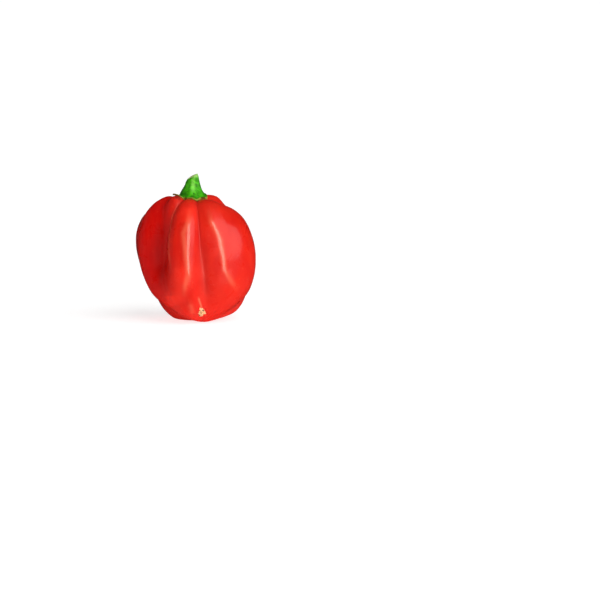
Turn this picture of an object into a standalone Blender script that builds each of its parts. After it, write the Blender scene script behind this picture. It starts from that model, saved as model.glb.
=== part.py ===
"""A red chilli pepper of the habanero kind, as picked: a lobed pod with its green calyx and cut stem.

The pod stands upright on the flat spot under its lobes, stem up, with its blossom scar turned to the front.
Front is -Y, right is +X and the ground is z = 0, under the pod's middle. Sizes are real sizes in metres.
"""

import math
from collections import namedtuple

import bpy
import numpy as np

MM = 0.001

# Driving sizes of the pod. Every swelling is an ellipsoid that holds the pod's middle.
POD_MIDDLE_HEIGHT = 21.5 * MM
SWELLING_OFFSET = 8.0 * MM
SWELLING_DEPTH = 13.0 * MM
SWELLING_HALF_WIDTH = 11.0 * MM
SWELLING_HALF_HEIGHT = 21.6 * MM

# The pod is never thinner than this about its middle, which keeps the hollow under the calyx shallow.
WAIST_RADIUS = 12.0 * MM
WAIST_HALF_HEIGHT = 19.4 * MM

# Towards the blossom scar the lobes draw closer to the pod's axis, by this share of their offset.
BLOSSOM_GATHER = 0.45
BLOSSOM_GATHER_ANGLE = math.radians(60)

# How rounded the creases between lobes are at either end, and the folds within one lobe
CREASE_AT_CALYX = 0.28 * MM
CREASE_AT_BLOSSOM = 1.8 * MM
CREASE_EASES_FROM = math.radians(40)
FOLD_ROUNDING = 1.6 * MM

# Low on the left of the front rib its crease runs out in rounded skin.
CREASE_RUNS_OUT_BY = 2.2 * MM
CREASE_RUNS_OUT_AT = math.radians(-40)
CREASE_RUNS_OUT_WIDTH = math.radians(30)
CREASE_RUNS_OUT_FROM = math.radians(85)
CREASE_RUNS_OUT_OVER = math.radians(40)
BLOSSOM_END = math.radians(30)

# The pod's lower end is bent towards the front, so that the blossom scar faces the viewer's feet.
BLOSSOM_BEND = math.radians(24)
BLOSSOM_AZIMUTH = math.radians(16)
BEND_STARTS_AT = math.radians(55)

# Azimuths are in degrees from the front towards the right. Out, wide and tall are shares of the driving
# sizes, rise is how far a swelling's middle lies above the pod's in millimetres, lean how far its top leans
# out for each metre of height, and twist how many degrees it winds to the right on its way down to the
# pod's middle.
Swelling = namedtuple("Swelling", "azimuth out wide tall rise lean twist")

# Each lobe is one swelling, or a few that run into each other in soft folds.
FRONT_RIB = (
    Swelling(azimuth=-8, out=0.952, wide=0.57, tall=0.96, rise=0.0, lean=-0.027, twist=-2),
    Swelling(azimuth=-20, out=0.898, wide=0.44, tall=0.82, rise=2.8, lean=0.024, twist=2),
    Swelling(azimuth=-25, out=0.81, wide=0.44, tall=0.67, rise=-1.4, lean=-0.07, twist=1),
)
RIGHT_LOBE = (
    Swelling(azimuth=40, out=0.894, wide=0.95, tall=0.965, rise=0.35, lean=0.02, twist=12),
    Swelling(azimuth=67.5, out=1.049, wide=1.105, tall=0.93, rise=-1.3, lean=0.034, twist=-7.5),
)
BACK_RIGHT_LOBE = (Swelling(azimuth=119, out=0.914, wide=0.79, tall=0.986, rise=0.8, lean=-0.14, twist=-5),)
BACK_LOBE = (Swelling(azimuth=168, out=0.968, wide=0.90, tall=0.935, rise=0.7, lean=-0.01, twist=0),)
BACK_LEFT_LOBE = (Swelling(azimuth=-143, out=0.979, wide=0.935, tall=0.941, rise=0.25, lean=-0.13, twist=0),)
LEFT_LOBE = (
    Swelling(azimuth=-99, out=0.962, wide=0.865, tall=0.805, rise=0.25, lean=0.242, twist=-7),
    Swelling(azimuth=-73.5, out=0.932, wide=0.593, tall=0.958, rise=1.05, lean=0.077, twist=4.5),
    Swelling(azimuth=-42, out=0.58, wide=0.60, tall=0.966, rise=1.7, lean=0.204, twist=2),
)
LOBES = (FRONT_RIB, RIGHT_LOBE, BACK_RIGHT_LOBE, BACK_LOBE, BACK_LEFT_LOBE, LEFT_LOBE)

# Driving sizes of the stem and calyx. The stem's radius falls from its base up by the taper, less and less
# with height, and its rings tilt into the slanted cut from a height above the base.
CALYX_RADIUS = 4.9 * MM
CALYX_THICKNESS = 0.65 * MM
CALYX_GAP = 0.3 * MM
CALYX_BLEND = 0.25 * MM
STEM_AXIS_X = -1.0 * MM
STEM_BASE_HEIGHT = 43.1 * MM
STEM_BASE_RADIUS = 5.1 * MM
STEM_TAPER = 0.736
STEM_TAPER_EASE = 44.0
STEM_HEIGHT = 7.1 * MM
STEM_CUT_SLOPE = 0.55
STEM_CUT_DOME = 0.4 * MM
STEM_TILTS_FROM = 2.4 * MM
# Azimuth in degrees of each calyx tooth, and how much further than the rim it reaches
Tooth = namedtuple("Tooth", "azimuth reach")
TEETH = (
    Tooth(azimuth=9, reach=1.3 * MM),
    Tooth(azimuth=84, reach=0.4 * MM),
    Tooth(azimuth=150, reach=0.9 * MM),
    Tooth(azimuth=-125, reach=0.5 * MM),
    Tooth(azimuth=-70, reach=2.6 * MM),
)
TOOTH_HALF_WIDTH = math.radians(17)

# How finely the surfaces are divided
POD_ROUND = 90
POD_DOWN = 46
POD_RING_CROWDING = 0.35
STEM_ROUND = 48
STEM_CUT_RINGS = 3
STEM_SIDE_RINGS = 12
CALYX_RINGS = 5
CALYX_UNDER_RINGS = 7
SKIN_SEARCH_STEPS = 12


def smooth_step(share):
    """0 before share 0, 1 after share 1, with no corner between."""
    share = np.clip(share, 0.0, 1.0)
    return share * share * (3 - 2 * share)


def bell(distance, width):
    """1 where the distance is nothing, falling to nearly 0 beyond about twice the width."""
    return np.exp(-((distance / width) ** 2))


def turn_between(start, azimuth):
    """The shorter way round from one azimuth to another, less than half a turn either way."""
    return np.arctan2(np.sin(azimuth - start), np.cos(azimuth - start))


def smooth_largest(values, softness):
    """The largest of the values, rounded where two of them are nearly equal."""
    largest = values.max(axis=0)
    return largest + softness * np.log(np.exp((values - largest) / softness).sum(axis=0))


def direction(azimuth, polar):
    """Unit vectors at an azimuth from the front towards the right, and a polar angle from straight up."""
    flat = np.sin(polar)
    return np.stack([flat * np.sin(azimuth), -flat * np.cos(azimuth), np.cos(polar)], axis=-1)


def swelling_reach(swelling, azimuth, polar):
    """How far one swelling's skin lies from the pod's middle, in each direction."""
    gather = BLOSSOM_GATHER * smooth_step(1 - (math.pi - polar) / BLOSSOM_GATHER_ANGLE)
    offset = SWELLING_OFFSET * swelling.out * (1 - gather)
    depth = SWELLING_DEPTH * swelling.out
    half_width = SWELLING_HALF_WIDTH * swelling.wide
    half_height = SWELLING_HALF_HEIGHT * swelling.tall
    rise = swelling.rise * MM
    winding = math.radians(swelling.twist) * (polar / (math.pi / 2) - 1)
    turn = azimuth - math.radians(swelling.azimuth) - winding
    up = np.cos(polar)
    outward = np.sin(polar) * np.cos(turn) - swelling.lean * up
    sideways = np.sin(polar) * np.sin(turn)
    a = (outward / depth) ** 2 + (sideways / half_width) ** 2 + (up / half_height) ** 2
    b = outward * offset / depth**2 + up * rise / half_height**2
    c = (offset / depth) ** 2 + (rise / half_height) ** 2 - 1
    return (b + np.sqrt(b * b - a * c)) / a


def crease_softness(azimuth, polar):
    """How rounded the creases are: sharp at the calyx, softer down the pod and softest where one runs out."""
    eased = smooth_step((polar - CREASE_EASES_FROM) / (math.pi - CREASE_EASES_FROM))
    softness = CREASE_AT_CALYX + (CREASE_AT_BLOSSOM - CREASE_AT_CALYX) * eased
    lower = smooth_step((polar - CREASE_RUNS_OUT_FROM) / CREASE_RUNS_OUT_OVER)
    lower = lower * smooth_step((math.pi - polar) / BLOSSOM_END)
    aside = bell(turn_between(CREASE_RUNS_OUT_AT, azimuth), CREASE_RUNS_OUT_WIDTH)
    return softness + CREASE_RUNS_OUT_BY * aside * lower


def pod_reach(azimuth, polar):
    """How far the skin lies from the pod's middle."""
    waist = 1 / np.sqrt((np.sin(polar) / WAIST_RADIUS) ** 2 + (np.cos(polar) / WAIST_HALF_HEIGHT) ** 2)
    reaches = [waist]
    for lobe in LOBES:
        folds = np.stack([swelling_reach(swelling, azimuth, polar) for swelling in lobe])
        reaches.append(smooth_largest(folds, FOLD_ROUNDING))
    return smooth_largest(np.stack(reaches), crease_softness(azimuth, polar))


def bent(points, polar):
    """Points about the pod's middle, turned towards the blossom's side by more and more down the pod."""
    angle = BLOSSOM_BEND * smooth_step((polar - BEND_STARTS_AT) / (math.pi - BEND_STARTS_AT))
    side = np.array([math.cos(BLOSSOM_AZIMUTH), math.sin(BLOSSOM_AZIMUTH), 0.0])
    forward = np.array([math.sin(BLOSSOM_AZIMUTH), -math.cos(BLOSSOM_AZIMUTH), 0.0])
    along, ahead, up = points @ side, points @ forward, points[..., 2]
    turned_ahead = ahead * np.cos(angle) - up * np.sin(angle)
    turned_up = ahead * np.sin(angle) + up * np.cos(angle)
    return (
        along[..., None] * side
        + turned_ahead[..., None] * forward
        + turned_up[..., None] * np.array([0.0, 0.0, 1.0])
    )


def pod_surface(azimuth, polar):
    """Points on the pod's skin, with the lobes' lowest skin pressed flat on the ground."""
    points = bent(direction(azimuth, polar) * pod_reach(azimuth, polar)[..., None], polar)
    points[..., 2] = np.maximum(points[..., 2] + POD_MIDDLE_HEIGHT, 0.0)
    return points


def top_skin_height(x, y):
    """The height of the pod's skin over points near its top."""
    azimuth = np.arctan2(x, -y)
    radius = np.hypot(x, y)
    polar = radius / WAIST_HALF_HEIGHT
    for _ in range(SKIN_SEARCH_STEPS):
        polar = np.arcsin(radius / pod_reach(azimuth, polar))
    return POD_MIDDLE_HEIGHT + pod_reach(azimuth, polar) * np.cos(polar)


def grid_object(name, rings, top, bottom, material):
    """A closed body from rings of points, listed from the top point down to the bottom point, as one mesh."""
    count, around = rings.shape[:2]
    points = [tuple(top), *map(tuple, rings.reshape(-1, 3)), tuple(bottom)]
    last = len(points) - 1
    faces = []
    for i in range(around):
        j = (i + 1) % around
        faces.append((0, 1 + i, 1 + j))
        for ring in range(count - 1):
            upper, lower = 1 + ring * around, 1 + (ring + 1) * around
            faces.append((upper + i, lower + i, lower + j, upper + j))
        faces.append((last, last - around + j, last - around + i))
    mesh = bpy.data.meshes.new(name)
    mesh.from_pydata(points, [], faces)
    mesh.shade_smooth()
    mesh.materials.append(material)
    made = bpy.data.objects.new(name, mesh)
    bpy.context.scene.collection.objects.link(made)
    return made


def plain_material(name, colour, roughness):
    material = bpy.data.materials.new(name)
    material.use_nodes = True
    shader = material.node_tree.nodes["Principled BSDF"]
    shader.inputs["Base Color"].default_value = (*colour, 1.0)
    shader.inputs["Roughness"].default_value = roughness
    shader.inputs["Metallic"].default_value = 0.0
    return material


def azimuths(count):
    return np.arange(count) * 2 * math.pi / count


def make_pod():
    """The red fruit. Its rings lie closer together at the calyx and at the blossom scar."""
    share = np.arange(POD_DOWN + 1) / POD_DOWN
    polar = math.pi * share - POD_RING_CROWDING / 2 * np.sin(2 * math.pi * share)
    azimuth, down = np.meshgrid(azimuths(POD_ROUND), polar[1:-1])
    top, bottom = pod_surface(np.zeros(2), polar[[0, -1]])
    skin = plain_material("pepper_skin", (0.72, 0.03, 0.015), 0.22)
    return grid_object("pod", pod_surface(azimuth, down), top, bottom, skin)


def calyx_rim(azimuth):
    """The calyx's radius, which grows to a small tooth in some places."""
    rim = np.full(azimuth.shape, CALYX_RADIUS)
    for tooth in TEETH:
        away = turn_between(math.radians(tooth.azimuth), azimuth)
        rim += tooth.reach * bell(away, TOOTH_HALF_WIDTH)
    return rim


def stem_radius(height):
    """The stem's radius at a height above its base, falling ever more slowly."""
    return STEM_BASE_RADIUS - STEM_TAPER * height + STEM_TAPER_EASE * height**2


def stem_side_height(radius):
    """The height above its base at which the stem has this radius."""
    root = np.sqrt(np.maximum(STEM_TAPER**2 - 4 * STEM_TAPER_EASE * (STEM_BASE_RADIUS - radius), 0.0))
    return (STEM_TAPER - root) / (2 * STEM_TAPER_EASE)


def stem_ring(azimuth, radius, height):
    """A ring of the stem or calyx about the stem's axis, heights counted from the ground."""
    x = STEM_AXIS_X + radius * np.sin(azimuth)
    y = -radius * np.cos(azimuth)
    return np.stack([x, y, height * np.ones_like(x)], axis=-1)


def cut_tilt(azimuth, radius, height):
    """How much a point on the stem is raised, so that the rings come to lie in the slanted cut."""
    nearness = smooth_step((height - STEM_TILTS_FROM) / (STEM_HEIGHT - STEM_TILTS_FROM))
    return STEM_CUT_SLOPE * nearness * radius * np.sin(azimuth)


def calyx_top(azimuth, radius):
    """The upper side of the flared stem and the calyx over the pod's skin."""
    flat = stem_ring(azimuth, radius, 0.0)
    blade = top_skin_height(flat[..., 0], flat[..., 1]) + CALYX_GAP + CALYX_THICKNESS
    flare = STEM_BASE_HEIGHT + stem_side_height(radius) * np.ones_like(azimuth)
    return smooth_largest(np.stack([blade, flare]), CALYX_BLEND)


def calyx_underside(azimuth, radius):
    flat = stem_ring(azimuth, radius, 0.0)
    return top_skin_height(flat[..., 0], flat[..., 1]) + CALYX_GAP


def make_stem_and_calyx():
    """The calyx lies on the pod and flares up into the stem, which is cut at a slant: one green piece."""
    around = azimuths(STEM_ROUND)
    rim = calyx_rim(around)
    cut_height = STEM_BASE_HEIGHT + STEM_HEIGHT
    cut_radius = stem_radius(STEM_HEIGHT)
    rings = []
    for k in range(1, STEM_CUT_RINGS):
        share = k / STEM_CUT_RINGS
        radius = cut_radius * share
        height = cut_height + STEM_CUT_DOME * (1 - share**2)
        rings.append(stem_ring(around, radius, height + cut_tilt(around, radius, STEM_HEIGHT)))
    for k in range(STEM_SIDE_RINGS):
        height = STEM_HEIGHT * (1 - k / STEM_SIDE_RINGS)
        radius = stem_radius(height)
        side_height = calyx_top(around, radius) + cut_tilt(around, radius, height)
        rings.append(stem_ring(around, radius, side_height))
    inner = stem_radius(STEM_HEIGHT / STEM_SIDE_RINGS)
    for k in range(1, CALYX_RINGS + 1):
        radius = inner + (rim - inner) * k / CALYX_RINGS
        rings.append(stem_ring(around, radius, calyx_top(around, radius)))
    for k in range(CALYX_UNDER_RINGS):
        radius = rim * (1 - k / CALYX_UNDER_RINGS)
        rings.append(stem_ring(around, radius, calyx_underside(around, radius)))
    top = (STEM_AXIS_X, 0.0, cut_height + STEM_CUT_DOME)
    bottom = (STEM_AXIS_X, 0.0, calyx_underside(np.zeros(1), np.zeros(1))[0])
    green = plain_material("stem_green", (0.09, 0.35, 0.02), 0.5)
    return grid_object("stem_and_calyx", np.stack(rings), top, bottom, green)


def main():
    for old in list(bpy.data.objects):
        bpy.data.objects.remove(old)
    make_pod()
    make_stem_and_calyx()


main()
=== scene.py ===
"""A ripe red chilli pepper of the habanero kind: the waxy, lobed pod with its corky blossom scar, and the
green calyx with its cut stem. Front is -Y, right is +X, up is +Z and all sizes are in metres."""
import math
from collections import namedtuple

import bpy
import numpy as np
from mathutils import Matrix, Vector, noise


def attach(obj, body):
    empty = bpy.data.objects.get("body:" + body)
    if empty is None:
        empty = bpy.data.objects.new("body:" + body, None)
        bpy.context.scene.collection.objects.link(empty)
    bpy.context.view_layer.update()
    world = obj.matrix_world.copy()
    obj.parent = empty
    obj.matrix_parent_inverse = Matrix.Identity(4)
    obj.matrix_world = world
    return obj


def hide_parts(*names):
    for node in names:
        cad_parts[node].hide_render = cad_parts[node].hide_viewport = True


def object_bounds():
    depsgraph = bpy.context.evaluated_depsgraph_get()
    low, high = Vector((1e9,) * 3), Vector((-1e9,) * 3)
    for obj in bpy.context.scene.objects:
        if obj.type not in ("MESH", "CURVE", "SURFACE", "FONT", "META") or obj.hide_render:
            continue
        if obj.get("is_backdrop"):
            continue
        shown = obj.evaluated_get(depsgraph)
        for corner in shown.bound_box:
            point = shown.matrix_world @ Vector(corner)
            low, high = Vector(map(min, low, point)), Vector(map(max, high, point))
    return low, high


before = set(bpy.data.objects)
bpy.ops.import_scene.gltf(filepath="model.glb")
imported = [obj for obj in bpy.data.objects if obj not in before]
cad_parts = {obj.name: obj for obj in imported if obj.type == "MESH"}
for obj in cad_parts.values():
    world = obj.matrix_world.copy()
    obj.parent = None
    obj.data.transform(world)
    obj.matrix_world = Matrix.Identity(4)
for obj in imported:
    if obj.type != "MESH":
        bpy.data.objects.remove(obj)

CAD_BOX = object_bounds()
MM = 0.001
DEG = math.radians(1)
UP = np.array([0.0, 0.0, 1.0])


# The camera

PHOTO_WIDTH = 600
METRES_A_PIXEL = 0.35 * MM
CAMERA_DISTANCE = 0.9
CAMERA_ELEVATION = 7 * DEG
NEAREST_SEEN = 0.02
PEPPER_MIDDLE = Vector((0, 0, 22 * MM))
PIXELS_LEFT_OF_MIDDLE = 104.5
PIXELS_ABOVE_MIDDLE = 43.0


def make_camera():
    """A long lens a little above the pepper, which lies left of and above the picture's middle."""
    forward = Vector((0, math.cos(CAMERA_ELEVATION), -math.sin(CAMERA_ELEVATION)))
    upward = Vector((0, math.sin(CAMERA_ELEVATION), math.cos(CAMERA_ELEVATION)))
    aim = PEPPER_MIDDLE + Vector((1, 0, 0)) * PIXELS_LEFT_OF_MIDDLE * METRES_A_PIXEL
    aim -= upward * PIXELS_ABOVE_MIDDLE * METRES_A_PIXEL
    lens = bpy.data.cameras.new("camera")
    lens.lens = lens.sensor_width * CAMERA_DISTANCE / (PHOTO_WIDTH * METRES_A_PIXEL)
    lens.clip_start = NEAREST_SEEN
    camera = bpy.data.objects.new("camera", lens)
    camera.location = aim - forward * CAMERA_DISTANCE
    camera.rotation_euler = (math.pi / 2 - CAMERA_ELEVATION, 0, 0)
    bpy.context.scene.collection.objects.link(camera)
    bpy.context.scene.camera = camera


# Light and floor. Azimuths and elevations are in degrees, azimuths from the front towards the right. What the
# skin mirrors is set apart from what lights it.

SoftBox = namedtuple("SoftBox", "name azimuth elevation distance width height power colour")
SOFT_BOX = SoftBox("tall soft box", 24, 20, 0.6, 0.26, 0.6, 8.0, (1.0, 0.80, 0.66))
LitWall = namedtuple("LitWall", "name azimuth elevation spread strength")
MIRRORED_WALL = LitWall("sheen of the wall on the right", 62, 27, 46, 1.3)
LIT_WALLS = (
    LitWall("lit wall on the right", 46, 34, 70, 2.65),
    LitWall("lit wall in front", 5, 0, 60, 1.0),
    LitWall("lit wall on the left", -108, 8, 60, 0.75),
)
ROOM_LIGHT = 0.10
ROOM_MIRRORED = 0.015
FLOOR_HALF_WIDTH = 20.0
FLOOR_LIT = 0.80
FLOOR_SEEN = 0.50
FLOOR_MIRRORED = 0.03
FLOOR_GLOW_SEEN = 0.74
FLOOR_GLOW_CAST = 0.65


def add_light(name, kind, azimuth, elevation, distance, strength):
    """Adds a light that is aimed at the pepper's middle."""
    light = bpy.data.lights.new(name, kind)
    light.energy = strength
    lamp = bpy.data.objects.new(name, light)
    bpy.context.scene.collection.objects.link(lamp)
    across, up = azimuth * DEG, elevation * DEG
    away = Vector((math.sin(across) * math.cos(up), -math.cos(across) * math.cos(up), math.sin(up)))
    lamp.location = PEPPER_MIDDLE + away * distance
    lamp.rotation_mode = "QUATERNION"
    lamp.rotation_quaternion = away.to_track_quat("Z", "Y")
    return lamp


def add_soft_box(box):
    lamp = add_light(box.name, "AREA", box.azimuth, box.elevation, box.distance, box.power)
    lamp.data.color = box.colour
    lamp.data.shape = "RECTANGLE"
    lamp.data.size = box.width
    lamp.data.size_y = box.height
    return lamp


def add_lit_wall(wall):
    """Even light from far away, as from a large lit wall."""
    lamp = add_light(wall.name, "SUN", wall.azimuth, wall.elevation, 1.0, wall.strength)
    lamp.data.angle = wall.spread * DEG
    return lamp


def make_light():
    world = bpy.data.worlds.new("pale room")
    world.use_nodes = True
    tree = world.node_tree
    mirrored = add(tree, "LightPath").outputs["Is Glossy Ray"]
    strength = between(tree, mirrored, 0.0, 1.0, ROOM_LIGHT, ROOM_MIRRORED)
    feed(tree, tree.nodes["Background"], {"Color": grey(1.0), "Strength": strength})
    bpy.context.scene.world = world
    bpy.context.scene.view_settings.view_transform = "Standard"
    add_soft_box(SOFT_BOX).visible_diffuse = False
    add_lit_wall(MIRRORED_WALL).visible_diffuse = False
    for wall in LIT_WALLS:
        add_lit_wall(wall).visible_glossy = False


def make_floor():
    """A pale floor: white to the camera, dimmer in the light it throws and hardly mirrored in the skin."""
    far = FLOOR_HALF_WIDTH
    mesh = bpy.data.meshes.new("floor")
    mesh.from_pydata([(-far, -far, 0), (far, -far, 0), (far, far, 0), (-far, far, 0)], [], [(0, 1, 2, 3)])
    floor = bpy.data.objects.new("floor", mesh)
    bpy.context.scene.collection.objects.link(floor)
    material, tree, shader = new_material("pale floor")
    paths = add(tree, "LightPath").outputs
    pale = mix(tree, paths["Is Camera Ray"], grey(FLOOR_LIT), grey(FLOOR_SEEN))
    glow_seen = maths(tree, "MULTIPLY", paths["Is Camera Ray"], FLOOR_GLOW_SEEN)
    glow_cast = maths(tree, "MULTIPLY", paths["Is Diffuse Ray"], FLOOR_GLOW_CAST)
    feed(tree, shader, {
        "Base Color": mix(tree, paths["Is Glossy Ray"], pale, grey(FLOOR_MIRRORED)),
        "Emission Color": grey(1.0),
        "Emission Strength": maths(tree, "ADD", glow_seen, glow_cast),
        "Roughness": 0.9,
        "Specular IOR Level": 0.1,
    })
    mesh.materials.append(material)
    floor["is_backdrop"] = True


# The pod's form

POD_MIDDLE_HEIGHT = 21.5 * MM
SWELLING_OFFSET = 8.0 * MM
SWELLING_DEPTH = 13.0 * MM
SWELLING_HALF_WIDTH = 11.0 * MM
SWELLING_HALF_HEIGHT = 21.6 * MM
WAIST_RADIUS = 12.0 * MM
WAIST_HALF_HEIGHT = 19.4 * MM
BLOSSOM_GATHER = 0.45
BLOSSOM_GATHERS_FROM = 120 * DEG
CREASE_AT_CALYX = 0.25 * MM
CREASE_AT_BLOSSOM = 1.8 * MM
CREASE_EASES_FROM = 40 * DEG
FOLD_ROUNDING = 1.6 * MM
BLOSSOM_BEND = 24 * DEG
BLOSSOM_AZIMUTH = 16 * DEG
BEND_STARTS_AT = 55 * DEG

# Low on the left of the front rib its crease runs out in rounded skin.
CREASE_RUNS_OUT_BY = 2.2 * MM
CREASE_RUNS_OUT_AT = -40 * DEG
CREASE_RUNS_OUT_WIDTH = 30 * DEG
CREASE_RUNS_OUT_FROM = 85 * DEG
CREASE_IS_OUT_AT = 125 * DEG
BLOSSOM_END = 150 * DEG

# Azimuths are in degrees from the front towards the right. Out, wide and tall are shares of the driving
# sizes, rise is how far a swelling's middle lies above the pod's in millimetres, lean how far its top leans
# out for each metre of height, and twist how many degrees it winds to the right on its way down to the
# pod's middle.
Swelling = namedtuple("Swelling", "azimuth out wide tall rise lean twist")
FRONT_RIB = (
    Swelling(-8, 0.952, 0.57, 0.96, 0.0, -0.027, -2),
    Swelling(-20, 0.898, 0.44, 0.82, 2.8, 0.024, 2),
    Swelling(-25, 0.81, 0.44, 0.67, -1.4, -0.07, 1),
)
RIGHT_LOBE = (
    Swelling(40, 0.894, 0.95, 0.965, 0.35, 0.02, 12),
    Swelling(67.5, 1.049, 1.105, 0.93, -1.3, 0.034, -7.5),
)
BACK_RIGHT_LOBE = (Swelling(119, 0.914, 0.79, 0.986, 0.8, -0.14, -5),)
BACK_LOBE = (Swelling(168, 0.968, 0.90, 0.935, 0.7, -0.01, 0),)
BACK_LEFT_LOBE = (Swelling(-143, 0.979, 0.935, 0.941, 0.25, -0.13, 0),)
LEFT_LOBE = (
    Swelling(-99, 0.962, 0.865, 0.805, 0.25, 0.242, -7),
    Swelling(-73.5, 0.932, 0.593, 0.958, 1.05, 0.077, 4.5),
    Swelling(-42, 0.58, 0.60, 0.966, 1.7, 0.204, 2),
)
LOBES = (FRONT_RIB, RIGHT_LOBE, BACK_RIGHT_LOBE, BACK_LOBE, BACK_LEFT_LOBE, LEFT_LOBE)

POD_ROUND = 384
POD_DOWN = 250
POD_RING_CROWDING = 0.35
TOP_SKIN_STEPS = 12


def easing(value, start, end):
    """0 at the start, 1 at the end, with no corner between. The start may be the larger of the two."""
    share = np.clip((value - start) / (end - start), 0.0, 1.0)
    return share * share * (3 - 2 * share)


def bell(distance, width):
    """1 where the distance is nothing, falling to nearly 0 beyond about twice the width."""
    return np.exp(-((distance / width) ** 2))


def turn_between(start, azimuth):
    """The shorter way round from one azimuth to another."""
    return np.arctan2(np.sin(azimuth - start), np.cos(azimuth - start))


def smooth_largest(values, softness):
    """The largest of the values, rounded where two of them are nearly equal."""
    largest = values.max(axis=0)
    return largest + softness * np.log(np.exp((values - largest) / softness).sum(axis=0))


def direction(azimuth, polar):
    """The way outward at an azimuth and at an angle down from straight up."""
    flat = np.sin(polar)
    return np.stack([flat * np.sin(azimuth), -flat * np.cos(azimuth), np.cos(polar)], axis=-1)


def swelling_reach(swelling, azimuth, polar):
    """How far a swelling's ellipsoid reaches from the pod's middle, as the root of its equation."""
    gather = BLOSSOM_GATHER * easing(polar, BLOSSOM_GATHERS_FROM, math.pi)
    offset = SWELLING_OFFSET * swelling.out * (1 - gather)
    depth = SWELLING_DEPTH * swelling.out
    half_width = SWELLING_HALF_WIDTH * swelling.wide
    half_height = SWELLING_HALF_HEIGHT * swelling.tall
    rise = swelling.rise * MM
    winding = swelling.twist * DEG * (polar / (math.pi / 2) - 1)
    turn = azimuth - swelling.azimuth * DEG - winding
    up = np.cos(polar)
    outward = np.sin(polar) * np.cos(turn) - swelling.lean * up
    sideways = np.sin(polar) * np.sin(turn)
    squared = (outward / depth) ** 2 + (sideways / half_width) ** 2 + (up / half_height) ** 2
    linear = outward * offset / depth**2 + up * rise / half_height**2
    constant = (offset / depth) ** 2 + (rise / half_height) ** 2 - 1
    return (linear + np.sqrt(linear**2 - squared * constant)) / squared


def crease_softness(azimuth, polar):
    """How rounded the creases are: sharp at the calyx, softer down the pod and softest where one runs out."""
    eased = easing(polar, CREASE_EASES_FROM, math.pi)
    low = easing(polar, CREASE_RUNS_OUT_FROM, CREASE_IS_OUT_AT) * easing(polar, math.pi, BLOSSOM_END)
    aside = bell(turn_between(CREASE_RUNS_OUT_AT, azimuth), CREASE_RUNS_OUT_WIDTH)
    softness = CREASE_AT_CALYX + (CREASE_AT_BLOSSOM - CREASE_AT_CALYX) * eased
    return softness + CREASE_RUNS_OUT_BY * aside * low


def pod_reach(azimuth, polar):
    """How far the skin lies from the pod's middle, and how near to a crease between two lobes it is."""
    waist = 1 / np.sqrt((np.sin(polar) / WAIST_RADIUS) ** 2 + (np.cos(polar) / WAIST_HALF_HEIGHT) ** 2)
    reaches = [waist]
    for lobe in LOBES:
        folds = np.stack([swelling_reach(swelling, azimuth, polar) for swelling in lobe])
        reaches.append(smooth_largest(folds, FOLD_ROUNDING))
    reaches = np.stack(reaches)
    second, first = np.sort(reaches, axis=0)[-2:]
    return smooth_largest(reaches, crease_softness(azimuth, polar)), first - second


def bent(points, polar):
    """Turns the pod's lower end towards its front, more and more down the pod."""
    angle = BLOSSOM_BEND * easing(polar, BEND_STARTS_AT, math.pi)
    side = np.array([math.cos(BLOSSOM_AZIMUTH), math.sin(BLOSSOM_AZIMUTH), 0.0])
    forward = np.array([math.sin(BLOSSOM_AZIMUTH), -math.cos(BLOSSOM_AZIMUTH), 0.0])
    along, ahead, up = points @ side, points @ forward, points[..., 2]
    turned_ahead = ahead * np.cos(angle) - up * np.sin(angle)
    turned_up = ahead * np.sin(angle) + up * np.cos(angle)
    return along[..., None] * side + turned_ahead[..., None] * forward + turned_up[..., None] * UP


# The skin's relief. The places, widths and rises of bumps, pits, folds and tones are in millimetres, and a
# path is a list of (right, up) points on the pod's front. A pair of angles, measured down from straight up,
# says where an effect starts and where it is in full.

RELIEF_FROM = 16 * DEG
RELIEF_IN_FULL_AT = 40 * DEG
DENT_SIZES = (7 * MM, 7 * MM, 11 * MM)
DENT_DEPTH = 0.20 * MM
DENT_SEED = 3.1
RIPPLE_SIZES = (2.6 * MM, 2.6 * MM, 5 * MM)
RIPPLE_DEPTH = 0.06 * MM
RIPPLE_SEED = 17.7
GATHERS_ROUND = 9.0
GATHERS_DOWN = 1.3
GATHER_SEED = 5.3
GATHER_DEPTH_AT_CALYX = 0.12 * MM
GATHERED_AT_CALYX = (62 * DEG, 22 * DEG)
GATHER_DEPTH_AT_BLOSSOM = 0.14 * MM
GATHERED_AT_BLOSSOM = (128 * DEG, 163 * DEG)
PINCH_DEPTH = 0.3 * MM
PINCHED_AT_CALYX = (95 * DEG, 45 * DEG)
PINCH_WIDTH = 0.5 * MM
PINCH_WIDENS = (0, 60 * DEG)
PINCH_WIDTH_AT_CALYX = 0.2

Bump = namedtuple("Bump", "right back up rise width")
BUMPS = (
    Bump(7.2, 3.5, 42.0, 0.55, 2.6),
    Bump(-5.3, -4.2, 43.4, -0.9, 2.0),
    Bump(-9.0, -1.0, 42.6, 0.35, 2.2),
)

SCAR_MIDDLE = np.array([2.6, -13.2, 4.6]) * MM
SCAR_RADIUS = 1.35 * MM
SCAR_STRETCH = 1.6
SCAR_ACROSS_DEPTH = 0.15
SCAR_IN_FRONT_OF = -4 * MM
Wave = namedtuple("Wave", "count height start")
SCAR_RAGGEDNESS = (Wave(3, 0.16, 0.9), Wave(5, 0.10, 2.0), Wave(9, 0.06, 0.0))
SCAR_RISE = 0.16 * MM
SCAR_RISEN_AT = 0.25
SCAR_EDGE_AT = -0.12
SCAR_EDGE_WIDTH = 0.16
SCAR_EDGE_DEPTH = 0.22 * MM
SCAR_UNEVENNESS = 0.8
SCAR_GRAIN_SIZES = (0.5 * MM, 0.5 * MM, 0.5 * MM)
SCAR_SEED = 2.2
Pit = namedtuple("Pit", "right up width depth")
SCAR_PITS = (Pit(0.55, 0.45, 0.30, 0.35), Pit(-0.75, -1.35, 0.26, 0.30), Pit(-0.1, -0.5, 0.20, 0.15))

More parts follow.
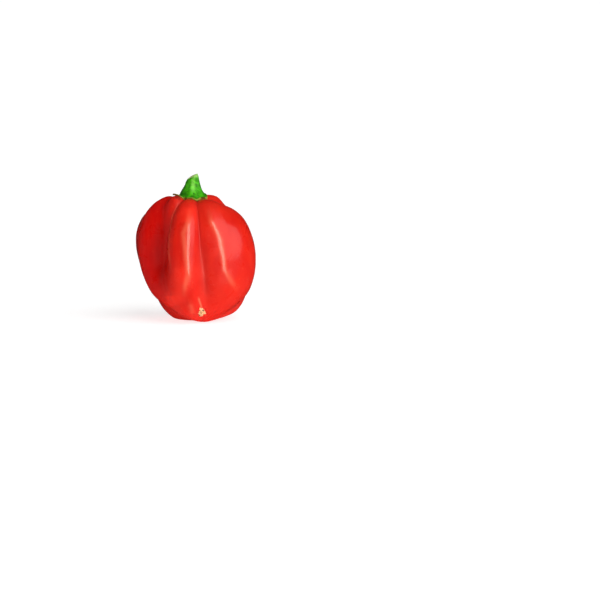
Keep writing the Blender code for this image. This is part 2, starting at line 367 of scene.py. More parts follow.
PATH_END = 0.2
PATH_END_STRENGTH = 0.25
PATHS_FADE_OVER = 5 * MM
Fold = namedtuple("Fold", "rise width path")
RIB_RIDGE = Fold(
    0.10, 1.6,
    ((-1.5, 39), (-1.8, 35.8), (-3.3, 32), (-2.7, 26.8), (-1.7, 18), (-2.8, 14), (-3.3, 11)),
)
RIGHT_RIDGE = Fold(
    0.30, 1.7,
    ((5.2, 39), (6, 35.7), (9.4, 29.5), (10.3, 23.3), (10.8, 19.1), (13.2, 14.8), (14.6, 12.5)),
)
RIB_LEFT_EDGE = Fold(0.28, 0.6, ((-5.4, 41.9), (-7.5, 37), (-8.4, 30.7), (-8.6, 25.8), (-7.9, 20.2)))
LEFT_VALLEY = Fold(-0.35, 1.8, ((-11.0, 36), (-12.0, 29), (-12.3, 22), (-12.2, 14)))
LOW_WRINKLE = Fold(-0.22, 0.45, ((-8.1, 11.6), (-8.7, 9.2), (-7.9, 7.6), (-6.2, 6.4)))
WRINKLE_LIP = Fold(0.18, 1.1, ((-10.2, 9.6), (-9.4, 7.2), (-7.4, 5.2)))
FOLDS = (RIB_RIDGE, RIGHT_RIDGE, RIB_LEFT_EDGE, LEFT_VALLEY, LOW_WRINKLE, WRINKLE_LIP)

# Tones of the skin along a path: painted highlight with paler dried skin, painted shade, painted light,
# painted shadow
# Painted shade: the skin near the creases is a darker red near the top, fading out down the pod.
CREASE_SHADE_WIDTH = 1.0 * MM
CREASE_SHADE_FADE = (110 * DEG, 50 * DEG)
FILLET_WIDTH = 2.0 * MM
Tone = namedtuple("Tone", "strength width path")
TONES = {
    # Painted highlight along the streaks of the two ridges and the rib's left edge; then paler skin in a
    # dried line and a patch by the scar.
    "highlight and pale line": (
        Tone(0.5, 0.85, RIB_RIDGE.path),
        Tone(0.4, 0.85, RIGHT_RIDGE.path),
        Tone(0.25, 0.3, RIB_LEFT_EDGE.path),
        Tone(0.8, 0.28, ((1.7, 10.0), (2.0, 8.6), (2.4, 7.2), (2.7, 5.6))),
        Tone(0.3, 0.85, ((-1.2, 8.0), (-0.7, 5.6), (-0.3, 3.6))),
    ),
    # Painted shade: deeper red in the left valley and along the flank right of the front rib.
    "valley shade": (
        Tone(1.0, 2.4, LEFT_VALLEY.path),
        Tone(0.8, 1.8, ((3.0, 29), (3.8, 22), (4.2, 16), (4.8, 9))),
    ),
    # Painted light: brighter red low on the front rib, low on the left and at the rib's top.
    "painted light": (
        Tone(1.0, 2.3, ((-4.2, 22), (-4.6, 14), (-4.9, 7))),
        Tone(1.0, 2.3, ((-8.6, 10.5), (-7.4, 6))),
        Tone(1.0, 2.3, ((-1.2, 41), (-1.6, 35))),
    ),
    # Painted shadow: brown under the calyx's dry tooth.
    "tooth shadow": (Tone(1.0, 0.45, ((-6.8, 43.7), (-5.6, 43.4), (-4.7, 42.9))),),
}


def waves(points, sizes, seed):
    """Smooth irregular waves between about -1 and 1 that change over the given size along each axis."""
    scaled = points.reshape(-1, 3) / np.asarray(sizes) + seed
    values = [noise.noise(Vector(point)) for point in scaled]
    return np.array(values).reshape(points.shape[:-1])


def near_path(points, path, width):
    """1 on a path along the pod's front, less at its ends, falling off beside it."""
    right, up = points[..., 0] / MM, points[..., 2] / MM
    nearest, along = np.full(right.shape, np.inf), np.zeros(right.shape)
    for number, (start, end) in enumerate(zip(path, path[1:])):
        run = np.array(end) - np.array(start)
        share = ((right - start[0]) * run[0] + (up - start[1]) * run[1]) / (run @ run)
        share = np.clip(share, 0, 1)
        distance = np.hypot(right - start[0] - share * run[0], up - start[1] - share * run[1])
        along = np.where(distance < nearest, (number + share) / (len(path) - 1), along)
        nearest = np.minimum(distance, nearest)
    inner = easing(along, 0, PATH_END) * easing(along, 1, 1 - PATH_END)
    strength = PATH_END_STRENGTH + (1 - PATH_END_STRENGTH) * inner
    return bell(nearest, width) * strength * easing(points[..., 1], 0, -PATHS_FADE_OVER)


def fold_relief(points):
    """Low folds and furrows along the front of the pod."""
    return sum(fold.rise * MM * near_path(points, fold.path, fold.width) for fold in FOLDS)


def bump_relief(points):
    """Broad bumps and a hollow at the pod's top, where the calyx lies on its shoulders."""
    rise = np.zeros(points.shape[:-1])
    for bump in BUMPS:
        away = points - np.array([bump.right, bump.back, bump.up]) * MM
        rise += bump.rise * MM * bell(np.linalg.norm(away, axis=-1), bump.width * MM)
    return rise


def skin_relief(azimuth, polar, points, to_crease):
    """How far the skin rises above the smooth form: dents, ripples, gathered wrinkles and pinched creases."""
    rise = DENT_DEPTH * waves(points, DENT_SIZES, DENT_SEED)
    rise += RIPPLE_DEPTH * waves(points, RIPPLE_SIZES, RIPPLE_SEED)
    round_and_down = np.stack(
        [GATHERS_ROUND * np.sin(azimuth), GATHERS_ROUND * np.cos(azimuth), GATHERS_DOWN * polar], axis=-1
    )
    gather_depth = GATHER_DEPTH_AT_CALYX * easing(polar, *GATHERED_AT_CALYX)
    gather_depth = gather_depth + GATHER_DEPTH_AT_BLOSSOM * easing(polar, *GATHERED_AT_BLOSSOM)
    rise += gather_depth * waves(round_and_down, (1, 1, 1), GATHER_SEED)
    widening = PINCH_WIDTH_AT_CALYX + (1 - PINCH_WIDTH_AT_CALYX) * easing(polar, *PINCH_WIDENS)
    rise -= PINCH_DEPTH * bell(to_crease, PINCH_WIDTH * widening) * easing(polar, *PINCHED_AT_CALYX)
    return rise * easing(polar, RELIEF_FROM, RELIEF_IN_FULL_AT)


def waves_around(turn, parts):
    """Waves of a turn: each one comes so many times round, has its height and starts so far on."""
    return sum(part.height * np.cos(part.count * turn + part.start) for part in parts)


def on_scar_side(points):
    return points[..., 1] < SCAR_IN_FRONT_OF


def inside_scar(points):
    """How deep inside the blossom scar's ragged edge points lie: 0 at the edge, 1 in its middle."""
    away = points - SCAR_MIDDLE
    right, ahead, up = away[..., 0], away[..., 1], away[..., 2]
    turn = np.arctan2(up, right)
    distance = np.sqrt(right**2 + (up / SCAR_STRETCH) ** 2 + SCAR_ACROSS_DEPTH * ahead**2)
    return 1 - distance / (SCAR_RADIUS * (1 + waves_around(turn, SCAR_RAGGEDNESS)))


def near_pit(points, pit):
    """1 in one of the scar's pits, falling to 0 away from it."""
    away = points - SCAR_MIDDLE
    distance = np.hypot(away[..., 0] - pit.right * MM, away[..., 2] - pit.up * MM)
    return bell(distance, pit.width * MM) * on_scar_side(points)


def scar_relief(points):
    """The corky scar stands a little proud, with a rough face, a sunken edge and pits."""
    inside = inside_scar(points)
    roughness = 1 + SCAR_UNEVENNESS * waves(points, SCAR_GRAIN_SIZES, SCAR_SEED)
    rise = SCAR_RISE * easing(inside, 0, SCAR_RISEN_AT) * roughness
    rise -= SCAR_EDGE_DEPTH * bell(inside - SCAR_EDGE_AT, SCAR_EDGE_WIDTH)
    for pit in SCAR_PITS:
        rise -= pit.depth * MM * near_pit(points, pit)
    return rise


def pod_points(azimuth, polar):
    """Points on the pod's skin, and how near to a crease each one lies."""
    reach, to_crease = pod_reach(azimuth, polar)
    outward = direction(azimuth, polar)
    reach = reach + skin_relief(azimuth, polar, outward * reach[..., None], to_crease)
    away = bent(outward * reach[..., None], polar)
    middle = UP * POD_MIDDLE_HEIGHT
    points = away + middle
    rise = scar_relief(points) + fold_relief(points) + bump_relief(points)
    points = points + away * (rise / np.linalg.norm(away, axis=-1))[..., None]
    points[..., 2] = np.maximum(points[..., 2], 0.0)
    return np.clip(points, CAD_BOX[0], CAD_BOX[1]), to_crease


def top_skin_height(x, y):
    """The height of the pod's smooth skin over points near its top."""
    azimuth = np.arctan2(x, -y)
    radius = np.hypot(x, y)
    polar = radius / WAIST_HALF_HEIGHT
    for _ in range(TOP_SKIN_STEPS):
        polar = np.arcsin(radius / pod_reach(azimuth, polar)[0])
    return POD_MIDDLE_HEIGHT + pod_reach(azimuth, polar)[0] * np.cos(polar)


def azimuths(count):
    return np.arange(count) * 2 * math.pi / count


def closed_mesh(name, rings, top, bottom, marks):
    """A closed skin from rings of points, top to bottom, with the marks that its material reads."""
    count, around = rings.shape[:2]
    points = np.concatenate([[top], rings.reshape(-1, 3), [bottom]])
    last = len(points) - 1
    pairs = [(here, (here + 1) % around) for here in range(around)]
    faces = [(0, 1 + here, 1 + after) for here, after in pairs]
    for ring in range(count - 1):
        upper = 1 + ring * around
        lower = upper + around
        faces += [(upper + here, lower + here, lower + after, upper + after) for here, after in pairs]
    faces += [(last, last - around + after, last - around + here) for here, after in pairs]
    mesh = bpy.data.meshes.new(name)
    mesh.from_pydata(points.tolist(), [], faces)
    mesh.shade_smooth()
    for label, values in marks.items():
        column = np.concatenate([values[0, :1], values.reshape(-1), values[-1, :1]])
        mesh.attributes.new(label, "FLOAT", "POINT").data.foreach_set("value", column.astype(np.float32))
    made = bpy.data.objects.new(name, mesh)
    bpy.context.scene.collection.objects.link(made)
    return made


def pod_marks(rings, polar, to_crease):
    """What the skin's material reads at each point of the pod."""
    marks = {
        # crease: painted shade near the creases
        "crease": bell(to_crease, CREASE_SHADE_WIDTH) * easing(polar, *CREASE_SHADE_FADE),
        "fillet": bell(to_crease, FILLET_WIDTH),
        "scar": np.where(on_scar_side(rings), np.clip(inside_scar(rings), -1, 1), -1.0),
        "pits": sum(near_pit(rings, pit) for pit in SCAR_PITS),
    }
    for label, tones in TONES.items():
        marks[label] = sum(tone.strength * near_path(rings, tone.path, tone.width) for tone in tones)
    return marks


def make_pod(skin):
    share = np.arange(POD_DOWN + 1) / POD_DOWN
    down = math.pi * share - POD_RING_CROWDING / 2 * np.sin(2 * math.pi * share)
    azimuth, polar = np.meshgrid(azimuths(POD_ROUND), down[1:-1])
    rings, to_crease = pod_points(azimuth, polar)
    (top, bottom), _ = pod_points(np.zeros(2), down[[0, -1]])
    pod = closed_mesh("pepper_pod", rings, top, bottom, pod_marks(rings, polar, to_crease))
    pod.data.materials.append(skin)
    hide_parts("pod")
    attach(pod, "root")


# The stem and calyx. A tooth's azimuth is in degrees and its reach beyond the calyx's rim in millimetres.

CALYX_RADIUS = 4.9 * MM
CALYX_THICKNESS = 0.65 * MM
CALYX_GAP = 0.16 * MM
CALYX_BLEND = 0.25 * MM
RIM_THINNING = 0.35
RIM_SHARPNESS = 6
STEM_AXIS_X = -1.0 * MM
STEM_BASE_HEIGHT = 43.1 * MM
STEM_BASE_RADIUS = 5.1 * MM
STEM_TAPER = 0.736
STEM_TAPER_EASE = 44.0
STEM_HEIGHT = 7.1 * MM
STEM_CUT_HEIGHT = STEM_BASE_HEIGHT + STEM_HEIGHT
STEM_CUT_SLOPE = 0.55
STEM_TILTS_FROM = 2.4 * MM
STEM_CUT_DOME = 0.4 * MM
STEM_LIP = 0.28 * MM
STEM_LIP_HEIGHT = 0.8 * MM
STEM_RIBS = (Wave(5, 0.11 * MM, 0.6), Wave(9, 0.05 * MM, 2.1))
STEM_RIBS_FROM = 0.3 * MM
STEM_RIBS_IN_FULL_AT = 2.3 * MM
Tooth = namedtuple("Tooth", "azimuth reach")
DRY_TOOTH = Tooth(-62, 2.6)
TEETH = (Tooth(9, 1.6), Tooth(84, 0.4), Tooth(150, 0.9), Tooth(-125, 0.5), DRY_TOOTH)
TOOTH_HALF_WIDTH = 17 * DEG
DRY_TOOTH_HALF_WIDTH = 24 * DEG
DRY_TOOTH_LIFT = 0.7 * MM
DRY_TOOTH_CURLS_FROM = 0.8 * CALYX_RADIUS
# A painted highlight on the stem's front: its middle and its sizes.
PAINTED_HIGHLIGHT_MIDDLE = np.array([-0.7, -4.0, 46.6]) * MM
PAINTED_HIGHLIGHT_SIZES = np.array([0.75, 3.0, 1.4]) * MM
# Painted shade over the calyx's blade, growing out from the stem.
CALYX_SIDE_SHADE = 0.45
CALYX_SIDE_SHADE_AT = 0.3
STEM_ROUND = 168
STEM_CUT_RINGS = 14
STEM_SIDE_RINGS = 60
CALYX_RINGS = 22
CALYX_UNDER_RINGS = 10


def near_tooth(azimuth, tooth, half_width):
    return bell(turn_between(tooth.azimuth * DEG, azimuth), half_width)


def calyx_rim(azimuth):
    """The calyx's radius, which grows to a small tooth in some places."""
    teeth = sum(tooth.reach * near_tooth(azimuth, tooth, TOOTH_HALF_WIDTH) for tooth in TEETH)
    return CALYX_RADIUS + teeth * MM


def dry_tooth_lift(azimuth, radius):
    """The long dry tooth curls up off the skin."""
    beyond = easing(radius, DRY_TOOTH_CURLS_FROM, DRY_TOOTH_CURLS_FROM + DRY_TOOTH.reach * MM)
    return DRY_TOOTH_LIFT * near_tooth(azimuth, DRY_TOOTH, DRY_TOOTH_HALF_WIDTH) * beyond


def stem_radius(height):
    return STEM_BASE_RADIUS - STEM_TAPER * height + STEM_TAPER_EASE * height**2


def stem_side_height(radius):
    """The height at which the stem has a radius: the smaller root of its taper."""
    root = np.sqrt(np.maximum(STEM_TAPER**2 - 4 * STEM_TAPER_EASE * (STEM_BASE_RADIUS - radius), 0.0))
    return (STEM_TAPER - root) / (2 * STEM_TAPER_EASE)


def stem_ring(azimuth, radius, height):
    x = STEM_AXIS_X + radius * np.sin(azimuth)
    y = -radius * np.cos(azimuth)
    return np.stack([x, y, height * np.ones_like(x)], axis=-1)


def cut_tilt(azimuth, radius, height):
    """How far a ring is tilted up or down towards the slanted cut."""
    return STEM_CUT_SLOPE * easing(height, STEM_TILTS_FROM, STEM_HEIGHT) * radius * np.sin(azimuth)


def calyx_underside(azimuth, radius):
    flat = stem_ring(azimuth, radius, 0.0)
    return top_skin_height(flat[..., 0], flat[..., 1]) + CALYX_GAP + dry_tooth_lift(azimuth, radius)


def calyx_top(azimuth, radius):
    """The calyx's blade, thinner at its rim, blended into the stem's flare."""
    thickness = CALYX_THICKNESS * (1 - RIM_THINNING * (radius / calyx_rim(azimuth)) ** RIM_SHARPNESS)
    blade = calyx_underside(azimuth, radius) + thickness
    flare = STEM_BASE_HEIGHT + stem_side_height(radius) * np.ones_like(azimuth)
    return smooth_largest(np.stack([blade, flare]), CALYX_BLEND)


def stem_relief(azimuth, height):
    """Low ribs along the stem and the drawn-in lip at its cut, as a change of its radius."""
    ribs = waves_around(azimuth, STEM_RIBS) * easing(height, STEM_RIBS_FROM, STEM_RIBS_IN_FULL_AT)
    return ribs - STEM_LIP * easing(height, STEM_HEIGHT - STEM_LIP_HEIGHT, STEM_HEIGHT)


def side_shade(azimuth):
    """Painted shade: the stem is a darker green on its left and right sides."""
    return 1 - np.sqrt(np.abs(np.cos(azimuth)))


def stem_and_calyx_rings(around):
    """Rings from the cut's middle down the stem, out over the calyx and back under it. Each one comes with
    its marks: on the cut, how near to the calyx's edge, and on the dry tooth."""
    cut_radius = stem_radius(STEM_HEIGHT) + stem_relief(around, STEM_HEIGHT)
    for share in np.arange(1, STEM_CUT_RINGS) / STEM_CUT_RINGS:
        radius = cut_radius * share
        height = STEM_CUT_HEIGHT + STEM_CUT_DOME * (1 - share**2) + cut_tilt(around, radius, STEM_HEIGHT)
        yield stem_ring(around, radius, height), 1.0, 0.0, 0.0
    for share in np.arange(STEM_SIDE_RINGS) / STEM_SIDE_RINGS:
        height = STEM_HEIGHT * (1 - share)
        radius = stem_radius(height)
        tilted = calyx_top(around, radius) + cut_tilt(around, radius, height)
        yield stem_ring(around, radius + stem_relief(around, height), tilted), 0.0, 0.0, 0.0
    inner, rim = stem_radius(STEM_HEIGHT / STEM_SIDE_RINGS), calyx_rim(around)
    dry = near_tooth(around, DRY_TOOTH, DRY_TOOTH_HALF_WIDTH)
    for share in np.arange(1, CALYX_RINGS + 1) / CALYX_RINGS:
        radius = inner + (rim - inner) * share
        yield stem_ring(around, radius, calyx_top(around, radius)), 0.0, share, share * dry
    for share in np.arange(CALYX_UNDER_RINGS) / CALYX_UNDER_RINGS:
        radius = rim * (1 - share)
        yield stem_ring(around, radius, calyx_underside(around, radius)), 0.0, 1.0, dry


def make_stem_and_calyx(green):
    around = azimuths(STEM_ROUND)
    rings, *columns = zip(*stem_and_calyx_rings(around))
    rings = np.clip(np.stack(rings), CAD_BOX[0], CAD_BOX[1])
    cut, edge, dry = (np.stack([value * np.ones(STEM_ROUND) for value in column]) for column in columns)
    marks = {
        "cut": cut,
        "edge": edge,
        "dry": dry,
        # light: a painted highlight on the stem's front
        "light": bell(np.linalg.norm((rings - PAINTED_HIGHLIGHT_MIDDLE) / PAINTED_HIGHLIGHT_SIZES, axis=-1), 1.0),
        # Painted shade on the stem's sides and over the calyx's blade
        "side shade": np.maximum(side_shade(around), CALYX_SIDE_SHADE * easing(edge, 0, CALYX_SIDE_SHADE_AT)),
    }
    top = (STEM_AXIS_X, 0.0, STEM_CUT_HEIGHT + STEM_CUT_DOME)
    bottom = (STEM_AXIS_X, 0.0, calyx_underside(np.zeros(1), np.zeros(1))[0])
    stem = closed_mesh("pepper_stem", rings, top, bottom, marks)
    stem.data.materials.append(green)
    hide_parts("stem_and_calyx")
    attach(stem, "root")


# Shader nodes

MIX_FACTOR, MIX_FIRST, MIX_SECOND, MIX_RESULT = 0, 6, 7, 2


def grey(value):
    return (value, value, value)


def feed_socket(tree, socket, value):
    """Gives an input a number or a colour, or links another node's output to it."""
    if isinstance(value, bpy.types.NodeSocket):
        tree.links.new(value, socket)
    elif socket.type == "RGBA":
        socket.default_value = (*value, 1.0)
    else:
        socket.default_value = value


def feed(tree, node, values):
    """Feeds a node's inputs by name."""
    for name, value in values.items():
        feed_socket(tree, node.inputs[name], value)


def add(tree, kind, values=None, **settings):
    """Adds a shader node with its settings and its inputs by name."""
    made = tree.nodes.new("ShaderNode" + kind)
    for name, setting in settings.items():
        setattr(made, name, setting)
    feed(tree, made, values or {})
    return made


def mix(tree, factor, first, second):
    """Mixes two colours by a factor."""
    made = add(tree, "Mix", data_type="RGBA")
    for index, value in ((MIX_FACTOR, factor), (MIX_FIRST, first), (MIX_SECOND, second)):
        feed_socket(tree, made.inputs[index], value)
    return made.outputs[MIX_RESULT]


def tinted(tree, colour, tints):
    """A colour with tints laid over it in turn, each with its mask, its strength and its own colour."""
    for mask, strength, tint in tints:
        colour = mix(tree, maths(tree, "MULTIPLY", mask, strength), colour, tint)
    return colour


def between(tree, value, low, high, to_low=0.0, to_high=1.0):
    """Spreads a value smoothly from one range to another."""
    ends = {"Value": value, "From Min": low, "From Max": high, "To Min": to_low, "To Max": to_high}
    return add(tree, "MapRange", ends, interpolation_type="SMOOTHSTEP").outputs["Result"]


def maths(tree, operation, *values):
    made = add(tree, "Math", operation=operation)
    for socket, value in zip(made.inputs, values):
        feed_socket(tree, socket, value)
    return made.outputs["Value"]


def mark(tree, name):
    """One of the marks that the mesh holds at each point."""
    return add(tree, "Attribute", attribute_name=name).outputs["Fac"]


def new_material(name):
    material = bpy.data.materials.new(name)
    material.use_nodes = True
    return material, material.node_tree, material.node_tree.nodes["Principled BSDF"]


def new_group(name, inputs, outputs):
    """A node group with named sockets. Returns its tree, its inputs and a function that feeds an output."""
    tree = bpy.data.node_groups.new(name, "ShaderNodeTree")
    for socket, kind in inputs.items():
        tree.interface.new_socket(socket, in_out="INPUT", socket_type="NodeSocket" + kind)
    for socket, kind in outputs.items():
        tree.interface.new_socket(socket, in_out="OUTPUT", socket_type="NodeSocket" + kind)
    entry, leave = tree.nodes.new("NodeGroupInput"), tree.nodes.new("NodeGroupOutput")
    return tree, entry.outputs, lambda socket, value: tree.links.new(value, leave.inputs[socket])


def use(tree, group, values):
    """Places a node group in a tree with its own values."""
    return add(tree, "Group", values, node_tree=group).outputs


# Effects that the skin and the stem share

STREAKS_DRAWN_OUT = (9.0, 9.0, 1.0)
PATCHES_SHOW = (0.32, 0.68)
STREAKS_SHOW = (0.4, 0.62)
FLECK_EDGE = (0.10, 0.24)
FLECKS_KEPT = (0.55, 0.75)
SMEARS_PER_GRAIN = 0.22


def mottling_group():
    """Soft patches, fine lengthwise streaks and sparse flecks, as masks from 0 to 1."""
    tree, given, give = new_group(
        "plant mottling",
        {"Position": "Vector", "Patches per Metre": "Float", "Flecks per Metre": "Float"},
        {"Patches": "Float", "Streaks": "Float", "Flecks": "Float"},
    )
    place, many = given["Position"], given["Patches per Metre"]
    patches = add(tree, "TexNoise", {"Vector": place, "Scale": many, "Detail": 4.0, "Distortion": 0.6})
    give("Patches", between(tree, patches.outputs["Fac"], *PATCHES_SHOW))
    drawn = add(tree, "Mapping", {"Vector": place, "Scale": STREAKS_DRAWN_OUT}).outputs["Vector"]
    streaks = add(tree, "TexNoise", {"Vector": drawn, "Scale": many, "Detail": 3.0})
    give("Streaks", between(tree, streaks.outputs["Fac"], *STREAKS_SHOW))
    flecks = add(tree, "TexVoronoi", {"Vector": place, "Scale": given["Flecks per Metre"], "Randomness": 1.0})
    chosen = add(tree, "SeparateColor", {"Color": flecks.outputs["Color"]}).outputs["Red"]
    dots = between(tree, flecks.outputs["Distance"], *FLECK_EDGE, 1.0, 0.0)
    give("Flecks", maths(tree, "MULTIPLY", dots, between(tree, chosen, *FLECKS_KEPT)))
    return tree


def grain_group():
    """The surface's fine relief as a height, and its roughness with broader smears in it."""
    tree, given, give = new_group(
        "fine grain",
        {"Position": "Vector", "Grains per Metre": "Float", "Roughness": "Float", "Unevenness": "Float"},
        {"Height": "Float", "Roughness": "Float"},
    )
    place, many = given["Position"], given["Grains per Metre"]
    give("Height", add(tree, "TexNoise", {"Vector": place, "Scale": many, "Detail": 5.0}).outputs["Fac"])
    few = maths(tree, "MULTIPLY", many, SMEARS_PER_GRAIN)
    smears = add(tree, "TexNoise", {"Vector": place, "Scale": few, "Detail": 3.0, "Distortion": 1.2})
    shift = maths(tree, "SUBTRACT", smears.outputs["Fac"], 0.5)
    shift = maths(tree, "MULTIPLY", shift, given["Unevenness"])
    give("Roughness", maths(tree, "ADD", given["Roughness"], shift))
    return tree


# The skin's material. Its colours are linear red, green and blue. Where there are two, soft patches, streaks
# or the cork's grain mix them.

SKIN_MOTTLING = {"Patches per Metre": 85.0, "Flecks per Metre": 700.0}
SKIN_GRAIN = {"Grains per Metre": 700.0, "Roughness": 0.29, "Unevenness": 0.16}
# Painted shade makes the pod's left a deeper red, and painted light makes its right a more orange red.
PAINTED_SHADE_REDS = ((0.50, 0.0012, 0.0008), (0.58, 0.003, 0.0015))
PAINTED_LIT_REDS = ((0.62, 0.009, 0.004), (0.71, 0.018, 0.0075))
STREAK_REDS = ((0.64, 0.010, 0.004), (0.68, 0.022, 0.008))
LOW_RED = (0.70, 0.018, 0.008)
FLECK_ORANGE = (0.90, 0.16, 0.06)
# Painted shade: deeper reds near the creases and in the valleys.
CREASE_SHADE_RED = (0.40, 0.003, 0.002)
VALLEY_SHADE_RED = (0.36, 0.0012, 0.0008)
# Painted light
PAINTED_LIGHT_RED = (0.95, 0.028, 0.012)
# Painted highlight, and the paler dried skin by the scar
HIGHLIGHT_AND_PALE_ORANGE = (0.86, 0.16, 0.08)
# Painted shadow under the dry tooth
TOOTH_SHADOW_BROWN = (0.13, 0.020, 0.009)
CORK_TANS = ((0.52, 0.24, 0.09), (0.86, 0.56, 0.30))
PIT_BROWN = (0.05, 0.012, 0.006)
# Where the painted shade on the left gives way to the painted light on the right.
PAINTED_SHADE_SIDE = -11 * MM
PAINTED_LIT_SIDE = -5 * MM
LOW_RED_FROM = 15 * MM
LOW_RED_IN_FULL_AT = 1 * MM
FILLET_DULLNESS = 0.75
TOP_DULLNESS = 0.4
DULL_TOP = (36 * MM, 42 * MM)
ROUGHNESS_OF_DULL_SKIN = 0.4
WAX = 0.3
WAXLESS_TOP = (41 * MM, 35 * MM)
WAX_LEFT_AT_TOP = 0.2
WAX_LEFT_IN_FILLETS = 0.15
SKIN_GRAIN_HEIGHT = 0.035 * MM
# How the cork's grain breaks up the painted shadow under the dry tooth
TOOTH_SHADOW_GRAIN = (0.35, 0.6)
CORK_GRAIN = (0.35, 0.65)
CORK_GRAINS_PER_METRE = 2600.0
CORK_GRAIN_HEIGHT = 0.15 * MM
CORK_ROUGHNESS = 0.75
CORK_FRAY = 0.5
CORK_EDGE = (0.02, 0.16)
PIT_EDGE = (0.25, 0.7)


def skin_colour(tree, place_on, spots, cork_grain, corky):
    """Red: deeper on the left as painted shade and more orange on the right as painted light, painted shade
    in the creases and valleys, brighter painted light in places, more orange low down, painted highlight
    along the ridges with paler dried skin by the scar, and a painted shadow under the dry tooth.
    """
    axes = add(tree, "SeparateXYZ", {"Vector": place_on}).outputs
    # Painted shade on the left and painted light on the right; the streaks' reds follow the same split.
    painted_lit_side = between(tree, axes["X"], PAINTED_SHADE_SIDE, PAINTED_LIT_SIDE)
    painted_shade_red, painted_lit_red = (mix(tree, spots["Patches"], *reds) for reds in (PAINTED_SHADE_REDS, PAINTED_LIT_REDS))
    # A painted shadow under the dry tooth, broken up by the cork's grain
    tooth_shadow = maths(tree, "MULTIPLY", mark(tree, "tooth shadow"), between(tree, cork_grain, *TOOTH_SHADOW_GRAIN))
    red = tinted(tree, mix(tree, painted_lit_side, painted_shade_red, painted_lit_red), (
        (spots["Streaks"], 0.25, mix(tree, painted_lit_side, *STREAK_REDS)),
        (between(tree, axes["Z"], LOW_RED_FROM, LOW_RED_IN_FULL_AT), 0.55, LOW_RED),
        (spots["Flecks"], 0.12, FLECK_ORANGE),
        # Painted shade near the creases
        (mark(tree, "crease"), 0.4, CREASE_SHADE_RED),
        # Painted shade in the valleys
        (mark(tree, "valley shade"), 0.5, VALLEY_SHADE_RED),
        # Painted light, brighter red in places
        (mark(tree, "painted light"), 0.7, PAINTED_LIGHT_RED),
        # Painted highlight and paler dried skin
        (mark(tree, "highlight and pale line"), 1.0, HIGHLIGHT_AND_PALE_ORANGE),
        # Painted shadow under the dry tooth
        (tooth_shadow, 1.0, TOOTH_SHADOW_BROWN),
    ))
    cork = mix(tree, between(tree, cork_grain, *CORK_GRAIN), *CORK_TANS)
    cork = mix(tree, between(tree, mark(tree, "pits"), *PIT_EDGE), cork, PIT_BROWN)
    return mix(tree, corky, red, cork)


def skin_roughness(tree, height, smooth, corky):
    """Duller in the creases' fillets and at the top, and rough on the cork."""
    in_fillet = maths(tree, "MULTIPLY", mark(tree, "fillet"), FILLET_DULLNESS)
    dull = maths(tree, "MAXIMUM", in_fillet, between(tree, height, *DULL_TOP, 0.0, TOP_DULLNESS))
    rough = maths(tree, "ADD", smooth, maths(tree, "MULTIPLY", dull, ROUGHNESS_OF_DULL_SKIN))
    return maths(tree, "MAXIMUM", rough, maths(tree, "MULTIPLY", corky, CORK_ROUGHNESS))


def skin_wax(tree, height, corky):
    """A thin wax layer, worn off at the top and in the creases' fillets. The cork has none."""
    off_cork = between(tree, corky, 0.0, 1.0, WAX, 0.0)
    below_top = between(tree, height, *WAXLESS_TOP, WAX_LEFT_AT_TOP, 1.0)
    in_fillet = between(tree, mark(tree, "fillet"), 0.0, 1.0, 1.0, WAX_LEFT_IN_FILLETS)
    return maths(tree, "MULTIPLY", maths(tree, "MULTIPLY", off_cork, below_top), in_fillet)


def skin_material(mottling, grain):
    material, tree, shader = new_material("waxy red skin")
    place_on = add(tree, "TexCoord").outputs["Object"]
    height = add(tree, "SeparateXYZ", {"Vector": place_on}).outputs["Z"]
    spots = use(tree, mottling, {"Position": place_on, **SKIN_MOTTLING})
    fine = use(tree, grain, {"Position": place_on, **SKIN_GRAIN})
    cork_noise = add(tree, "TexNoise", {"Vector": place_on, "Scale": CORK_GRAINS_PER_METRE, "Detail": 4.0})
    cork_grain = cork_noise.outputs["Fac"]
    fray = maths(tree, "MULTIPLY", maths(tree, "SUBTRACT", cork_grain, 0.5), CORK_FRAY)
    corky = between(tree, maths(tree, "ADD", mark(tree, "scar"), fray), *CORK_EDGE)
    skin_bump = add(tree, "Bump", {"Height": fine["Height"], "Distance": SKIN_GRAIN_HEIGHT, "Strength": 0.6})
    bump = add(tree, "Bump", {
        "Height": maths(tree, "MULTIPLY", cork_grain, corky),
        "Distance": CORK_GRAIN_HEIGHT,
        "Strength": 0.8,
        "Normal": skin_bump.outputs["Normal"],
    })
    feed(tree, shader, {
        "Base Color": skin_colour(tree, place_on, spots, cork_grain, corky),
        "Roughness": skin_roughness(tree, height, fine["Roughness"], corky),
        "Coat Weight": skin_wax(tree, height, corky),
        "Normal": bump.outputs["Normal"],
        "Specular IOR Level": 0.13,
        "Coat Roughness": 0.11,
        "Coat IOR": 1.4,
        "Subsurface Weight": 0.10,
        "Subsurface Radius": (1.0, 0.12, 0.06),
        "Subsurface Scale": 1.5 * MM,
    })
    return material


# The stem's material

STEM_MOTTLING = {"Patches per Metre": 620.0, "Flecks per Metre": 620.0}
STEM_GRAIN = {"Grains per Metre": 1500.0, "Roughness": 0.33, "Unevenness": 0.25}
STEM_GREENS = ((0.006, 0.13, 0.001), (0.050, 0.46, 0.004))
STREAK_GREEN = (0.12, 0.58, 0.012)
# The painted highlight's green
PAINTED_HIGHLIGHT_GREEN = (0.22, 0.78, 0.09)
TIP_GREEN = (0.42, 0.62, 0.20)
SPECK_GREEN = (0.003, 0.03, 0.001)
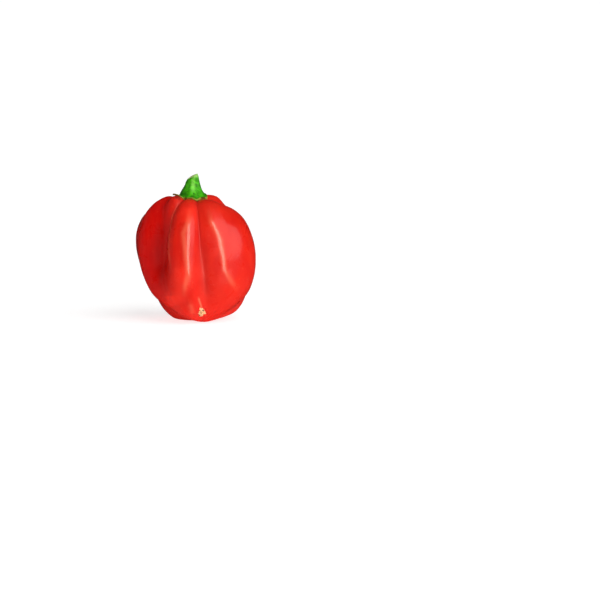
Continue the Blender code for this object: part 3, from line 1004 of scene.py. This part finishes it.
# The painted shade's green
SIDE_SHADE_GREEN = (0.004, 0.06, 0.001)
OLIVES = ((0.20, 0.25, 0.018), (0.42, 0.36, 0.07))
DRY_BROWN = (0.20, 0.12, 0.030)
PITHS = ((0.40, 0.52, 0.16), (0.66, 0.74, 0.36))
SPECKED_FOOT = (45.5 * MM, 44 * MM)
SPECKED_END = (48 * MM, 49.5 * MM)
SPECKS_BETWEEN = 0.5
PALE_TIP = (49.6 * MM, 50.6 * MM)
WORN_UNEVENNESS = 0.35
WORN_EDGE = (0.15, 0.65)
DRY_END = (0.3, 0.8)
STEM_GRAIN_HEIGHT = 0.06 * MM


def stem_colour(tree, height, spots):
    """Green with a painted highlight on its front, painted shade on its sides and the calyx's blade, dark
    specks at both ends, olive to dry at the calyx's edge, and pale pith in the cut.
    """
    ends = maths(tree, "MAXIMUM", between(tree, height, *SPECKED_FOOT), between(tree, height, *SPECKED_END))
    specked = maths(tree, "MULTIPLY", spots["Flecks"], between(tree, ends, 0.0, 1.0, SPECKS_BETWEEN, 1.0))
    patchy = maths(tree, "MULTIPLY", maths(tree, "SUBTRACT", spots["Patches"], 0.5), WORN_UNEVENNESS)
    worn = maths(tree, "ADD", mark(tree, "edge"), patchy)
    return tinted(tree, mix(tree, spots["Patches"], *STEM_GREENS), (
        (spots["Streaks"], 0.3, STREAK_GREEN),
        # Painted highlight
        (mark(tree, "light"), 0.55, PAINTED_HIGHLIGHT_GREEN),
        (between(tree, height, *PALE_TIP), 0.6, TIP_GREEN),
        (specked, 1.0, SPECK_GREEN),
        # Painted shade on the stem's sides and the calyx's blade
        (mark(tree, "side shade"), 0.7, SIDE_SHADE_GREEN),
        (between(tree, worn, *WORN_EDGE), 1.0, mix(tree, spots["Streaks"], *OLIVES)),
        (between(tree, mark(tree, "dry"), *DRY_END), 1.0, DRY_BROWN),
        (mark(tree, "cut"), 1.0, mix(tree, spots["Streaks"], *PITHS)),
    ))


def stem_material(mottling, grain):
    material, tree, shader = new_material("fresh green stem")
    place_on = add(tree, "TexCoord").outputs["Object"]
    height = add(tree, "SeparateXYZ", {"Vector": place_on}).outputs["Z"]
    spots = use(tree, mottling, {"Position": place_on, **STEM_MOTTLING})
    fine = use(tree, grain, {"Position": place_on, **STEM_GRAIN})
    bump = add(tree, "Bump", {"Height": fine["Height"], "Distance": STEM_GRAIN_HEIGHT, "Strength": 0.7})
    feed(tree, shader, {
        "Base Color": stem_colour(tree, height, spots),
        "Roughness": fine["Roughness"],
        "Normal": bump.outputs["Normal"],
        "Specular IOR Level": 0.30,
        "Specular Tint": (0.45, 1.0, 0.25),
        "Subsurface Weight": 0.08,
        "Subsurface Radius": (0.4, 1.0, 0.2),
        "Subsurface Scale": 0.8 * MM,
    })
    return material


make_camera()
make_light()
make_floor()
mottling, grain = mottling_group(), grain_group()
make_pod(skin_material(mottling, grain))
make_stem_and_calyx(stem_material(mottling, grain))

[[list(corner) for corner in box] for box in (CAD_BOX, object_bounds())]
